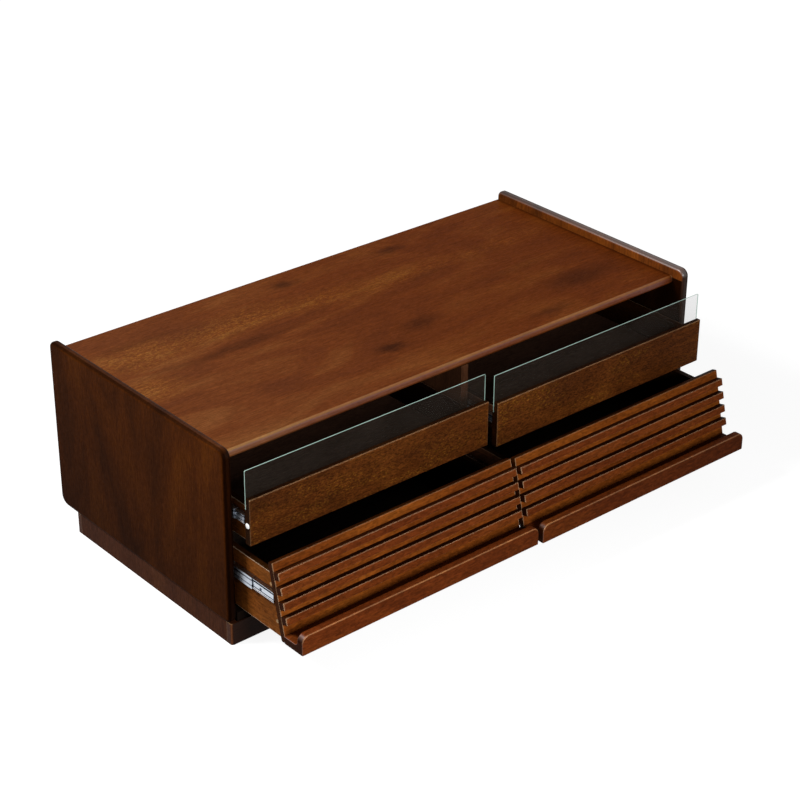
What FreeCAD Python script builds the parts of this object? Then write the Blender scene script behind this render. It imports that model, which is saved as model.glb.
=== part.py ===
import FreeCAD, Part
import Sketcher
import os
import re

# Low coffee table: a case on a plinth with two upper drawers whose low fronts carry a glass pane,
# and two lower drawers with a leaning slatted front and a lip along its foot for a handle.
# Millimetres. X runs along the table, the drawers open towards -Y, Z is up.
# The origin is on the floor, midway between the side panels and midway along their depth.
# The drawers stand open by the distances in the sheet.

doc = FreeCAD.newDocument("CoffeeTable")
sheet = doc.addObject("Spreadsheet::Sheet", "Sizes")

DRIVING_SIZES = (
    # case
    ("width", 1200),
    ("depth", 568),
    ("height", 409),
    ("panel_thickness", 19),
    ("edge_round", 7),
    ("back_corner_round", 13),
    ("heel_corner_round", 22),
    ("front_corner_round", 17),
    ("foot_corner_round", 12),
    ("top_thickness", 19),
    ("top_drop", 20),
    ("top_setback", 30),
    ("top_back_inset", 4),
    ("bottom_thickness", 19),
    ("divider_thickness", 17),
    ("divider_setback", 2),
    ("back_thickness", 9),
    ("back_inset", 13),
    # plinth
    ("plinth_height", 46),
    ("plinth_thickness", 15),
    ("plinth_end_inset", 3.5),
    ("plinth_front_proud", 2),
    ("plinth_back_inset", 51),
    ("plinth_round", 5),
    # drawers in general
    ("split_rise", 160.4),
    ("reveal", 2.2),
    ("front_gap", 1),
    ("centre_gap", 8),
    ("box_wall", 12),
    ("box_back_gap", 17),
    ("tray_thickness", 6),
    ("tray_lift", 6),
    ("open_upper_left", 57),
    ("open_upper_right", 74),
    ("open_lower_left", 125),
    ("open_lower_right", 129),
    # upper drawers
    ("upper_front_inset", 4.5),
    ("upper_front_thickness", 14.5),
    ("upper_front_height", 95),
    ("upper_edge_round", 1.2),
    ("glass_thickness", 5),
    ("glass_seat", 23),
    ("glass_overlap", 7),
    ("glass_corner", 2),
    ("cap_radius", 5.5),
    ("cap_thickness", 1.5),
    ("cap_rise", 39.5),
    # lower drawers
    ("lower_front_inset", 2),
    ("lean", 13),
    ("board_thickness", 12),
    ("board_clearance", 5.5),
    ("board_foot_round", 4.2),
    ("board_edge_round", 1.5),
    ("slat_height", 15),
    ("slat_depth", 14),
    ("slat_start", 16.5),
    ("slat_foot", 22.6),
    ("slat_edge_round", 1.2),
    ("handle_clearance", 8),
    ("handle_reach", 54),
    ("shelf_thickness", 14.5),
    ("lip_thickness", 16),
    ("lip_rise", 24.5),
    ("lip_corner", 16),
    ("lip_edge_round", 2.5),
    ("lip_hollow", 8),
    ("box_clearance", 3),
    ("box_drop", 33.4),
    ("box_front_thickness", 18),
    ("box_front_lift", 8),
    ("dowel_radius", 3.8),
    ("dowel_proud", 0.8),
    ("dowel_inset", 18.5),
    ("dowel_low_rise", 29.1),
    ("dowel_clearance", 2.3),
    # slides
    ("slide_gap", 12.7),
    ("slide_back_gap", 50),
    ("slide_sheet", 1.2),
    ("slide_play", 0.4),
    ("upper_slide_rise", 49.4),
    ("upper_inner_height", 17),
    ("lower_slide_drop", 40.6),
    ("lower_inner_height", 21),
)
SIZE_NAMES = [name for name, size in DRIVING_SIZES]
for row, (name, size) in enumerate(DRIVING_SIZES, start=1):
    sheet.set(f"A{row}", name)
    sheet.set(f"B{row}", str(size))
    sheet.setAlias(f"B{row}", name)
doc.recompute()

SLATS = 4
SAME_PLANE = 0.01
NODES = {}


def sized(formula):
    """Formula of size names turned into an expression that reads the sheet."""
    return re.sub(r"\w+", lambda word: ("Sizes." if word[0] in SIZE_NAMES else "") + word[0], formula)


def number(formula):
    """Present value of a formula of size names."""
    return float(sheet.evalExpression(sized(formula)))


def place(piece, x, y, z):
    """Bind the position of a piece to three formulas."""
    piece.setExpression("Placement.Base.x", sized(x))
    piece.setExpression("Placement.Base.y", sized(y))
    piece.setExpression("Placement.Base.z", sized(z))


def lean_back(piece):
    """Turn a piece about X so that its top goes back by the lean of the lower fronts."""
    piece.Placement.Rotation = FreeCAD.Rotation(FreeCAD.Vector(-1, 0, 0), number("lean"))
    piece.setExpression("Placement.Rotation.Angle", sized("lean"))


def keep(label, piece):
    """List a finished piece under the name of its file."""
    piece.Label = label
    NODES[label] = piece


def block(name, length, depth, height, x, y, z):
    """Plain board along the axes, from its low corner."""
    board = doc.addObject("Part::Box", name)
    board.setExpression("Length", sized(length))
    board.setExpression("Width", sized(depth))
    board.setExpression("Height", sized(height))
    place(board, x, y, z)
    return board


def disc(name, radius, thickness, x, y, z):
    """Flat round piece whose axis is X, from its low end."""
    piece = doc.addObject("Part::Cylinder", name)
    piece.setExpression("Radius", sized(radius))
    piece.setExpression("Height", sized(thickness))
    piece.Placement.Rotation = FreeCAD.Rotation(FreeCAD.Vector(0, 1, 0), 90)
    place(piece, x, y, z)
    return piece


def group(label, pieces):
    """Several separate solids kept as one node."""
    together = doc.addObject("Part::Compound", label)
    together.Links = pieces
    keep(label, together)


def draw_outline(sketch, corners):
    """Closed outline whose corners are bound to formulas; a coordinate of 0 lies on the axis."""
    points = [FreeCAD.Vector(number(across), number(up), 0) for across, up in corners]
    for index, point in enumerate(points):
        sketch.addGeometry(Part.LineSegment(point, points[(index + 1) % len(points)]), False)
    for index in range(len(points)):
        sketch.addConstraint(Sketcher.Constraint("Coincident", index, 2, (index + 1) % len(points), 1))
    for index, corner in enumerate(corners):
        for kind, axis, formula in (("DistanceX", -2, corner[0]), ("DistanceY", -1, corner[1])):
            if formula == "0":
                sketch.addConstraint(Sketcher.Constraint("PointOnObject", index, 1, axis))
                continue
            rule = sketch.addConstraint(Sketcher.Constraint(kind, -1, 1, index, 1, number(formula)))
            sketch.setExpression(f"Constraints[{rule}]", sized(formula))


def padded(label, corners, length):
    """Body made by padding an outline of (y, z) corners along X."""
    body = doc.addObject("PartDesign::Body", label)
    plane = [part for part in body.Origin.OriginFeatures if part.Role == "YZ_Plane"][0]
    sketch = body.newObject("Sketcher::SketchObject", label + "_outline")
    sketch.AttachmentSupport = (plane, [""])
    sketch.MapMode = "FlatFace"
    draw_outline(sketch, corners)
    pad = body.newObject("PartDesign::Pad", label + "_pad")
    pad.Profile = sketch
    pad.setExpression("Length", sized(length))
    doc.recompute()
    return body


def rectangle(depth, height):
    """Corners of an upright rectangle from the origin."""
    return (("0", "0"), (depth, "0"), (depth, height), ("0", height))


def lies_on(edge, planes):
    """Whether an edge lies on one of the listed places along each named axis."""
    box = edge.BoundBox
    for axis, formulas in planes.items():
        low = getattr(box, axis + "Min")
        high = getattr(box, axis + "Max")
        spots = [number(formula) for formula in formulas]
        if not any(abs(low - spot) < SAME_PLANE and abs(high - spot) < SAME_PLANE for spot in spots):
            return False
    return True


def round_over(body, radius, **planes):
    """Round the edges of a body's present shape that lie on the named planes of its own axes."""
    base = body.Tip
    edges = [f"Edge{index}" for index, edge in enumerate(base.Shape.Edges, start=1) if lies_on(edge, planes)]
    fillet = body.newObject("PartDesign::Fillet", body.Name + "_" + radius)
    fillet.Base = (base, edges)
    fillet.setExpression("Radius", sized(radius))
    doc.recompute()


# Case: two side panels with rounded corners and edges, top, bottom, divider and back.

INNER_HALF = "(width / 2 - panel_thickness)"
PANEL_HEIGHT = "(height - plinth_height)"
TOP_UNDERSIDE = "(height - top_drop - top_thickness)"
BOTTOM_TOP = "(plinth_height + bottom_thickness)"
NOSE = "(top_setback - depth / 2)"
BACK_FACE = "(depth / 2 - back_inset - back_thickness)"


def side_panel(label, x):
    """Upright panel with a rounded outline and every edge rounded over."""
    panel = padded(label, rectangle("depth", PANEL_HEIGHT), "panel_thickness")
    round_over(panel, "back_corner_round", Y=["depth"], Z=[PANEL_HEIGHT])
    round_over(panel, "heel_corner_round", Y=["depth"], Z=["0"])
    round_over(panel, "front_corner_round", Y=["0"], Z=[PANEL_HEIGHT])
    round_over(panel, "foot_corner_round", Y=["0"], Z=["0"])
    round_over(panel, "edge_round", X=["0", "panel_thickness"])
    place(panel, x, "-depth / 2", "plinth_height")
    keep(label, panel)


def top_panel():
    """Table top between the side panels, with a bullnosed front edge."""
    deep = "(depth - top_setback - top_back_inset)"
    top = padded("top_panel", rectangle(deep, "top_thickness"), f"2 * {INNER_HALF}")
    round_over(top, "edge_round", Y=["0"], Z=["0", "top_thickness"])
    place(top, f"-{INNER_HALF}", NOSE, TOP_UNDERSIDE)
    keep("top_panel", top)


side_panel("side_panel_left", "-width / 2")
side_panel("side_panel_right", INNER_HALF)
top_panel()
keep("bottom_panel", block(
    "bottom_panel", f"2 * {INNER_HALF}", f"{BACK_FACE} + depth / 2", "bottom_thickness",
    f"-{INNER_HALF}", "-depth / 2", "plinth_height"))
keep("centre_divider", block(
    "centre_divider", "divider_thickness", f"{BACK_FACE} - {NOSE} - divider_setback",
    f"{TOP_UNDERSIDE} - {BOTTOM_TOP}",
    "-divider_thickness / 2", f"{NOSE} + divider_setback", BOTTOM_TOP))
keep("back_panel", block(
    "back_panel", f"2 * {INNER_HALF}", "back_thickness", f"{TOP_UNDERSIDE} - plinth_height",
    f"-{INNER_HALF}", BACK_FACE, "plinth_height"))

# Plinth: front and back rails with rounded ends, side rails and a centre rail between them.

PLINTH_FRONT = "(-depth / 2 - plinth_front_proud)"
PLINTH_BACK = "(depth / 2 - plinth_back_inset)"
PLINTH_HALF = "(width / 2 - plinth_end_inset)"


def long_plinth_rail(label, y, outer_face):
    """Rail along X whose two outer upright corners are rounded."""
    rail = padded(label, rectangle("plinth_thickness", "plinth_height"), f"2 * {PLINTH_HALF}")
    round_over(rail, "plinth_round", X=["0", f"2 * {PLINTH_HALF}"], Y=[outer_face])
    place(rail, f"-{PLINTH_HALF}", y, "0")
    keep(label, rail)


def cross_plinth_rail(label, x):
    """Rail along Y between the front and the back rail."""
    keep(label, block(
        label, "plinth_thickness", f"{PLINTH_BACK} - {PLINTH_FRONT} - 2 * plinth_thickness",
        "plinth_height", x, f"{PLINTH_FRONT} + plinth_thickness", "0"))


long_plinth_rail("plinth_front", PLINTH_FRONT, "0")
long_plinth_rail("plinth_back", f"{PLINTH_BACK} - plinth_thickness", "plinth_thickness")
cross_plinth_rail("plinth_left", f"-{PLINTH_HALF}")
cross_plinth_rail("plinth_right", f"{PLINTH_HALF} - plinth_thickness")
cross_plinth_rail("plinth_centre", "-plinth_thickness / 2")

# Layout of the drawers: the bays beside the divider, the line where upper and lower fronts meet,
# the plane where the back of a closed front stops, and the box and slide lengths.

LEFT_BAY = (f"-{INNER_HALF}", "-divider_thickness / 2")
RIGHT_BAY = ("divider_thickness / 2", INNER_HALF)
SPLIT = f"({BOTTOM_TOP} + split_rise)"
CLOSED_BACK = f"({NOSE} - front_gap)"
BOX_LENGTH = f"({BACK_FACE} - {CLOSED_BACK} - box_back_gap)"
SLIDE_LENGTH = f"({BOX_LENGTH} - slide_back_gap)"

# Slides: each is an outer rail on the case, a middle rail and an inner rail on the drawer box.
# All three are channels that nest. The middle rail has gone half as far out as the drawer.

SLIDE_STEP = "(slide_sheet + slide_play)"


def channel(name, bay, end, near, far, web_at_wall, tall, y, middle):
    """Rail of U section at one end of a bay, between two distances from the bay's wall."""
    shift = "slide_sheet" if web_at_wall else "-slide_sheet"
    solid_x = f"{bay[0]} + {near}" if end == "low" else f"{bay[1]} - {far}"
    hollow_x = f"{solid_x} + {shift}" if end == "low" else f"{solid_x} - {shift}"
    solid = block(
        name + "_solid", f"{far} - {near}", SLIDE_LENGTH, tall, solid_x, y, f"{middle} - {tall} / 2")
    hollow = block(
        name + "_hollow", f"{far} - {near}", SLIDE_LENGTH, f"{tall} - 2 * slide_sheet", hollow_x, y,
        f"{middle} - {tall} / 2 + slide_sheet")
    rail = doc.addObject("Part::Cut", name)
    rail.Base = solid
    rail.Tool = hollow
    return rail


def outer_rails(level, start, middle):
    """Outer rails of both drawers of a level, on the side panels and on the divider."""
    rails = []
    for side, bay in (("left", LEFT_BAY), ("right", RIGHT_BAY)):
        for end in ("low", "high"):
            rails.append(channel(
                f"{level}_{side}_outer_{end}", bay, end, "0", f"(slide_gap - 2 * {SLIDE_STEP})", True,
                f"({level}_inner_height + 4 * {SLIDE_STEP})", start, middle))
    group(f"{level}_outer_rails", rails)


def drawer_rails(level, side, bay, start, middle):
    """Middle rails and inner rails of one drawer."""
    opening = f"open_{level}_{side}"
    middles = []
    inners = []
    for end in ("low", "high"):
        middles.append(channel(
            f"{level}_{side}_middle_{end}", bay, end, SLIDE_STEP, f"(slide_gap - {SLIDE_STEP})", True,
            f"({level}_inner_height + 2 * {SLIDE_STEP})", f"{start} - {opening} / 2", middle))
        inners.append(channel(
            f"{level}_{side}_inner_{end}", bay, end, f"(2 * {SLIDE_STEP})", "slide_gap", False,
            f"{level}_inner_height", f"{start} - {opening}", middle))
    group(f"{level}_{side}_middle_rails", middles)
    group(f"{level}_{side}_inner_rails", inners)


def box_span(bay):
    """Low and high X of the space between the two box sides in a bay."""
    return f"({bay[0]} + slide_gap + box_wall)", f"({bay[1]} - slide_gap - box_wall)"


def box_back(drawer, bay, opening, bottom, tall):
    """Back board of a drawer box, between its sides."""
    low, high = box_span(bay)
    keep(f"{drawer}_back", block(
        f"{drawer}_back", f"{high} - {low}", "box_wall", tall,
        low, f"{CLOSED_BACK} - {opening} + {BOX_LENGTH} - box_wall", bottom))


# Upper drawers: low front with a glass pane in a rebate behind its top edge.

UPPER_BOTTOM = f"({SPLIT} + reveal / 2)"
UPPER_LENGTH = f"({INNER_HALF} - upper_front_inset - centre_gap / 2)"
SEAT_HEIGHT = "(upper_front_height - glass_seat)"
SEAT_DEPTH = "(upper_front_thickness - glass_thickness)"
GLASS_HEIGHT = f"({TOP_UNDERSIDE} + glass_overlap - {UPPER_BOTTOM} - {SEAT_HEIGHT})"
UPPER_SLIDE = f"({UPPER_BOTTOM} + upper_slide_rise)"


def upper_front(drawer, face, low, cap_x):
    """Front board with its rebate, the glass in it and the cap on its outer end."""
    front = padded(f"{drawer}_front", (
        ("0", "0"), ("upper_front_thickness", "0"), ("upper_front_thickness", SEAT_HEIGHT),
        (SEAT_DEPTH, SEAT_HEIGHT), (SEAT_DEPTH, "upper_front_height"), ("0", "upper_front_height")),
        UPPER_LENGTH)
    round_over(front, "upper_edge_round", Y=["0"])
    place(front, low, face, UPPER_BOTTOM)
    keep(f"{drawer}_front", front)

    glass = padded(f"{drawer}_glass", rectangle("glass_thickness", GLASS_HEIGHT), UPPER_LENGTH)
    round_over(glass, "glass_corner", X=["0", UPPER_LENGTH], Z=[GLASS_HEIGHT])
    place(glass, low, f"{face} + {SEAT_DEPTH}", f"{UPPER_BOTTOM} + {SEAT_HEIGHT}")
    keep(f"{drawer}_glass", glass)

    keep(f"{drawer}_cap", disc(
        f"{drawer}_cap", "cap_radius", "cap_thickness",
        cap_x, f"{face} + upper_front_thickness / 2", f"{UPPER_BOTTOM} + cap_rise"))


def upper_drawer(side, bay, front_low, cap_x):
    """All pieces of one upper drawer at its opening."""
    drawer = f"upper_{side}"
    opening = f"open_upper_{side}"
    front_back = f"({CLOSED_BACK} - {opening})"
    upper_front(drawer, f"({front_back} - upper_front_thickness)", front_low, cap_x)
    box_back(drawer, bay, opening, UPPER_BOTTOM, SEAT_HEIGHT)
    low, high = box_span(bay)
    for name, x in (("side_left", f"{low} - box_wall"), ("side_right", high)):
        keep(f"{drawer}_{name}", block(
            f"{drawer}_{name}", "box_wall", BOX_LENGTH, SEAT_HEIGHT, x, front_back, UPPER_BOTTOM))
    keep(f"{drawer}_bottom", block(
        f"{drawer}_bottom", f"{high} - {low}", f"{BOX_LENGTH} - box_wall", "tray_thickness",
        low, front_back, f"{UPPER_BOTTOM} + tray_lift"))
    drawer_rails("upper", side, bay, NOSE, UPPER_SLIDE)


UPPER_HALF = f"({INNER_HALF} - upper_front_inset)"
outer_rails("upper", NOSE, UPPER_SLIDE)
upper_drawer("left", LEFT_BAY, f"-{UPPER_HALF}", f"-{UPPER_HALF} - cap_thickness")
upper_drawer("right", RIGHT_BAY, "centre_gap / 2", UPPER_HALF)

# Lower drawers: a leaning board with slats and a handle, in front of a box with slanted side fronts.
# Places on the leaning front are given by a distance up the board and one out from its back.

BOARD_FOOT = f"({BOTTOM_TOP} + board_clearance)"
BOARD_RISE = f"({SPLIT} - reveal / 2 - {BOARD_FOOT} - board_thickness * sin(lean))"
BOARD_LENGTH = f"({BOARD_RISE} / cos(lean))"
FOOT_BACK = f"({CLOSED_BACK} - {BOARD_RISE} * tan(lean))"
SLAT_PITCH = f"(({BOARD_LENGTH} - slat_start - slat_foot) / {SLATS})"
LOWER_LENGTH = f"({INNER_HALF} - lower_front_inset - centre_gap / 2)"
HANDLE_LENGTH = f"({INNER_HALF} - centre_gap / 2)"
SHELF_TOP = f"({BOTTOM_TOP} + handle_clearance + shelf_thickness)"
BOX_BOTTOM = f"({BOTTOM_TOP} + box_clearance)"
BOX_TOP = f"({SPLIT} - box_drop)"
BOX_HEIGHT = f"({BOX_TOP} - {BOX_BOTTOM})"
BOX_FRONT_LENGTH = f"(({BOX_TOP} - {BOARD_FOOT}) / cos(lean) - box_front_lift)"
LOWER_SLIDE = f"({BOX_TOP} - lower_slide_drop)"
LOWER_SLIDE_TOP = f"({LOWER_SLIDE} + lower_inner_height / 2 + 2 * {SLIDE_STEP})"


def board_back(opening, z):
    """Y formula of the back of the leaning board at a height."""
    return f"({FOOT_BACK} - {opening} + ({z} - {BOARD_FOOT}) * tan(lean))"


def on_board(opening, up, out):
    """Y and Z formulas of a place on the leaning front of a drawer."""
    y = f"{FOOT_BACK} - {opening} + ({up}) * sin(lean) - ({out}) * cos(lean)"
    z = f"{BOARD_FOOT} + ({up}) * cos(lean) + ({out}) * sin(lean)"
    return y, z


def lower_front(drawer, opening, low):
    """Leaning board and its slats."""
    board = padded(f"{drawer}_front", rectangle("board_thickness", BOARD_LENGTH), LOWER_LENGTH)
    round_over(board, "board_foot_round", Y=["0", "board_thickness"], Z=["0"])
    round_over(board, "board_edge_round", Y=["0", "board_thickness"], Z=[BOARD_LENGTH])
    lean_back(board)
    place(board, low, *on_board(opening, "0", "board_thickness"))
    keep(f"{drawer}_front", board)

    for index in range(SLATS):
        label = f"{drawer}_slat_{index + 1}"
        slat = padded(label, rectangle("slat_depth", "slat_height"), LOWER_LENGTH)
        round_over(slat, "slat_edge_round", Y=["0"])
        lean_back(slat)
        up = f"{BOARD_LENGTH} - slat_start - slat_height - {index} * {SLAT_PITCH}"
        place(slat, low, *on_board(opening, up, "board_thickness + slat_depth"))
        keep(label, slat)


def lower_handle(drawer, opening, low):
    """Shelf along the foot of the board with a lip that is hollowed inside and rounded at its ends."""
    reach_below = "(handle_reach - shelf_thickness * tan(lean))"
    lip_top = "(shelf_thickness + lip_rise)"
    handle = padded(f"{drawer}_handle", (
        ("0", "0"), (reach_below, "0"), ("handle_reach", "shelf_thickness"),
        ("lip_thickness", "shelf_thickness"), ("lip_thickness", lip_top), ("0", lip_top)), HANDLE_LENGTH)
    round_over(handle, "lip_hollow", Y=["lip_thickness"], Z=["shelf_thickness"])
    round_over(handle, "lip_corner", X=["0", HANDLE_LENGTH], Z=[lip_top])
    round_over(handle, "lip_edge_round", Y=["0", "lip_thickness"], Z=[lip_top])
    board_face = f"{board_back(opening, SHELF_TOP)} - board_thickness / cos(lean)"
    place(handle, low, f"{board_face} - handle_reach", f"{SHELF_TOP} - shelf_thickness")
    keep(f"{drawer}_handle", handle)


def lower_box(drawer, bay, opening):
    """Box with a leaning front between two sides whose fronts follow the lean."""
    low, high = box_span(bay)
    foot = board_back(opening, BOX_BOTTOM)
    back = f"({CLOSED_BACK} - {opening} + {BOX_LENGTH})"
    long_edge = f"({back} - {foot})"
    slant = f"({BOX_HEIGHT} * tan(lean))"
    for name, x in (("side_left", f"{low} - box_wall"), ("side_right", high)):
        wall = padded(f"{drawer}_{name}", (
            ("0", "0"), (long_edge, "0"), (long_edge, BOX_HEIGHT), (slant, BOX_HEIGHT)), "box_wall")
        place(wall, x, foot, BOX_BOTTOM)
        keep(f"{drawer}_{name}", wall)

    front = padded(
        f"{drawer}_box_front", rectangle("box_front_thickness", BOX_FRONT_LENGTH), f"{high} - {low}")
    lean_back(front)
    place(front, low, *on_board(opening, "box_front_lift", "0"))
    keep(f"{drawer}_box_front", front)

    tray_top = f"({BOX_BOTTOM} + tray_lift + tray_thickness)"
    tray_front = f"({board_back(opening, tray_top)} + box_front_thickness / cos(lean))"
    keep(f"{drawer}_bottom", block(
        f"{drawer}_bottom", f"{high} - {low}", f"{back} - box_wall - {tray_front}", "tray_thickness",
        low, tray_front, f"{BOX_BOTTOM} + tray_lift"))
    box_back(drawer, bay, opening, BOX_BOTTOM, BOX_HEIGHT)


def dowel_ends(drawer, bay, opening):
    """Round dowel ends that show on the outside of the box sides, two at each corner."""
    back_y = f"{CLOSED_BACK} - {opening} + {BOX_LENGTH} - box_wall / 2"
    dowels = []
    low_z = f"({BOX_BOTTOM} + dowel_low_rise)"
    high_z = f"({LOWER_SLIDE} + lower_inner_height / 2 + dowel_radius + dowel_clearance)"
    for end, x in (("left", f"{bay[0]} + slide_gap - dowel_proud"), ("right", f"{bay[1]} - slide_gap")):
        for level, z in (("low", low_z), ("high", high_z)):
            front_y = f"{board_back(opening, z)} + dowel_inset"
            for corner, y in (("front", front_y), ("back", back_y)):
                dowels.append(disc(
                    f"{drawer}_dowel_{end}_{level}_{corner}", "dowel_radius", "dowel_proud", x, y, z))
    group(f"{drawer}_dowels", dowels)


def lower_drawer(side, bay, front_low, handle_low):
    """All pieces of one lower drawer at its opening."""
    drawer = f"lower_{side}"
    opening = f"open_lower_{side}"
    lower_front(drawer, opening, front_low)
    lower_handle(drawer, opening, handle_low)
    lower_box(drawer, bay, opening)
    dowel_ends(drawer, bay, opening)
    drawer_rails("lower", side, bay, LOWER_SLIDE_START, LOWER_SLIDE)


LOWER_SLIDE_START = f"({board_back('0', LOWER_SLIDE_TOP)} + front_gap)"
outer_rails("lower", LOWER_SLIDE_START, LOWER_SLIDE)
lower_drawer("left", LEFT_BAY, f"-({INNER_HALF} - lower_front_inset)", f"-{INNER_HALF}")
lower_drawer("right", RIGHT_BAY, "centre_gap / 2", "centre_gap / 2")

# Check every object, then write one file for each piece.

doc.recompute()
for item in doc.Objects:
    if "Invalid" in item.State or "Error" in item.State:
        raise RuntimeError(f"{item.Name} failed: {item.State}")
for label, piece in NODES.items():
    if piece.Shape.isNull() or not piece.Shape.isValid():
        raise RuntimeError(f"{label} has no valid shape")

os.makedirs("parts", exist_ok=True)
for label, piece in NODES.items():
    piece.Shape.exportStep(f"parts/{label}.step")
    print(f"{label}: {len(piece.Shape.Solids)} solids, {piece.Shape.Volume / 1000:.1f} cm3")
print(f"{len(NODES)} files written")
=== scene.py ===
# %% [markdown]
# A low coffee table in dark stained wood, with two glass-topped drawers over two slatted ones.
# The solid pieces come from the part's own model, so this lesson is about finishes, light and the
# small hardware. Everything is in metres: X runs along the table, drawers open towards -Y, Z is up.

import math

import bmesh
import bpy
from mathutils import Matrix, Vector


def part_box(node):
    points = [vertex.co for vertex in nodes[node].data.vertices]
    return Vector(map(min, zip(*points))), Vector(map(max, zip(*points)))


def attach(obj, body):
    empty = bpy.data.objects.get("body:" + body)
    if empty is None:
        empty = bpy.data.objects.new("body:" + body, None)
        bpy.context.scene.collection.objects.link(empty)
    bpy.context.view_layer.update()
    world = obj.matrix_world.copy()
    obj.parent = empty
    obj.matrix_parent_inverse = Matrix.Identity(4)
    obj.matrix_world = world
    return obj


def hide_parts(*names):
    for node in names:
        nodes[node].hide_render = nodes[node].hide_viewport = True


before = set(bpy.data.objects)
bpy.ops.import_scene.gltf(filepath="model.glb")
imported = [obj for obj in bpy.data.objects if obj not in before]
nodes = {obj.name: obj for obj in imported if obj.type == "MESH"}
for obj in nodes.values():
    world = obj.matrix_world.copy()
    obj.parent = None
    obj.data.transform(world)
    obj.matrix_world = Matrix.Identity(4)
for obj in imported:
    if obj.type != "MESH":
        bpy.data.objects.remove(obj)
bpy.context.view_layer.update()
SIDES = ("left", "right")
LEVELS = ("upper", "lower")

# %% [markdown]
# The camera stands in front of the table, to its left and above it. Its place is written as a
# photographer would say it: an angle round the table, an angle above the floor and a distance.
# A camera can also be aimed with a constraint, but plain numbers are easier to read and to change.
# A long lens keeps the long edges nearly parallel.

# %% Camera
CAMERA_TURN = math.radians(-40.67)
CAMERA_RISE = math.radians(28.30)
CAMERA_ROLL = math.radians(0.39)
CAMERA_DISTANCE = 4.216
CAMERA_ASIDE = 0.0393
CAMERA_LIFT = -0.0094
AIM_HEIGHT = 0.2
LENS_MM = 92.44
SENSOR_MM = 36.0


def camera_axes():
    """Right, up and back directions of the camera."""
    back = Vector((
        math.sin(CAMERA_TURN) * math.cos(CAMERA_RISE),
        -math.cos(CAMERA_TURN) * math.cos(CAMERA_RISE),
        math.sin(CAMERA_RISE)))
    right = Vector((0, 0, 1)).cross(back).normalized()
    up = back.cross(right)
    turned_right = right * math.cos(CAMERA_ROLL) + up * math.sin(CAMERA_ROLL)
    turned_up = up * math.cos(CAMERA_ROLL) - right * math.sin(CAMERA_ROLL)
    return turned_right, turned_up, back


def add_camera():
    """Camera at the photograph's viewing angle."""
    right, up, back = camera_axes()
    data = bpy.data.cameras.new("camera")
    data.lens = LENS_MM
    data.sensor_width = SENSOR_MM
    camera = bpy.data.objects.new("camera", data)
    bpy.context.scene.collection.objects.link(camera)
    place = Vector((0, 0, AIM_HEIGHT)) + back * CAMERA_DISTANCE + right * CAMERA_ASIDE + up * CAMERA_LIFT
    turn = Matrix((right, up, back)).transposed()
    camera.matrix_world = Matrix.Translation(place) @ turn.to_4x4()
    bpy.context.scene.camera = camera
    return camera


camera = add_camera()
print("camera at", [round(value, 3) for value in camera.matrix_world.translation])

# %% [markdown]
# Materials are node trees. They could be wired by hand in the shader editor; written as code they
# can be repeated for each board. A few small helpers keep them readable: one adds a node with its
# settings and inputs, others make a colour ramp, a blend of two colours and one step of arithmetic.

# %% Node helpers
def fill(tree, socket, value):
    """Link a socket to another one, or set its value."""
    if isinstance(value, bpy.types.NodeSocket):
        tree.links.new(value, socket)
    else:
        socket.default_value = value


def add_node(tree, kind, inputs=None, **settings):
    """New node of a kind, with its settings and inputs."""
    node = tree.nodes.new(kind)
    for name, value in settings.items():
        setattr(node, name, value)
    for name, value in (inputs or {}).items():
        fill(tree, node.inputs[name], value)
    return node


def ramp(tree, factor, *stops):
    """Colour ramp over a factor; each stop is a place and a colour or a grey value."""
    node = add_node(tree, "ShaderNodeValToRGB", {"Fac": factor})
    elements = node.color_ramp.elements
    while len(elements) < len(stops):
        elements.new(0.5)
    for element, (place, colour) in zip(elements, stops):
        element.position = place
        shade = colour if isinstance(colour, tuple) else (colour, colour, colour)
        element.color = (*shade, 1.0)
    return node.outputs["Color"]


def blend(tree, kind, factor, first, second):
    """Two colours blended in one of Blender's ways."""
    node = add_node(tree, "ShaderNodeMix", data_type="RGBA", blend_type=kind)
    for socket, value in zip((node.inputs[0], node.inputs[6], node.inputs[7]), (factor, first, second)):
        fill(tree, socket, value)
    return node.outputs[2]


def step(tree, kind, *values):
    """One step of arithmetic."""
    node = add_node(tree, "ShaderNodeMath", operation=kind)
    for socket, value in zip(node.inputs, values):
        fill(tree, socket, value)
    return node.outputs[0]


def vector_step(tree, kind, first, second):
    """One step of vector arithmetic."""
    node = add_node(tree, "ShaderNodeVectorMath", operation=kind)
    fill(tree, node.inputs[0], first)
    fill(tree, node.inputs[3 if kind == "SCALE" else 1], second)
    return node.outputs["Value" if kind in ("LENGTH", "DOT_PRODUCT") else "Vector"]


def new_finish(name):
    """Empty material with a principled shader; gives the material, its tree and the shader."""
    material = bpy.data.materials.new(name)
    material.use_nodes = True
    tree = material.node_tree
    tree.nodes.clear()
    shader = add_node(tree, "ShaderNodeBsdfPrincipled")
    output = add_node(tree, "ShaderNodeOutputMaterial")
    tree.links.new(shader.outputs[0], output.inputs["Surface"])
    return material, tree, shader


def dress(material, *names):
    """Give solid pieces a material in place of the plain one they came with."""
    for name in names:
        mesh = nodes[name].data
        mesh.materials.clear()
        mesh.materials.append(material)


print("node helpers ready")

# %% [markdown]
# The table stands on a wide pale floor in a white surround. A white picture could also be made with
# stronger lamps, but then the wood would look washed out. So the floor and the surround only look
# white to the lens, in metal and through glass; they light the table dimly, and the floor keeps its
# shadow.

# %% Floor and surround
FLOOR_HALF = 14.0
FLOOR_SHADE = 0.22
GLOW_NEAR = 0.88
GLOW_FAR = 1.0
GLOW_FROM = 0.9
GLOW_TO = 2.4
AMBIENT = 0.15


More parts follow.
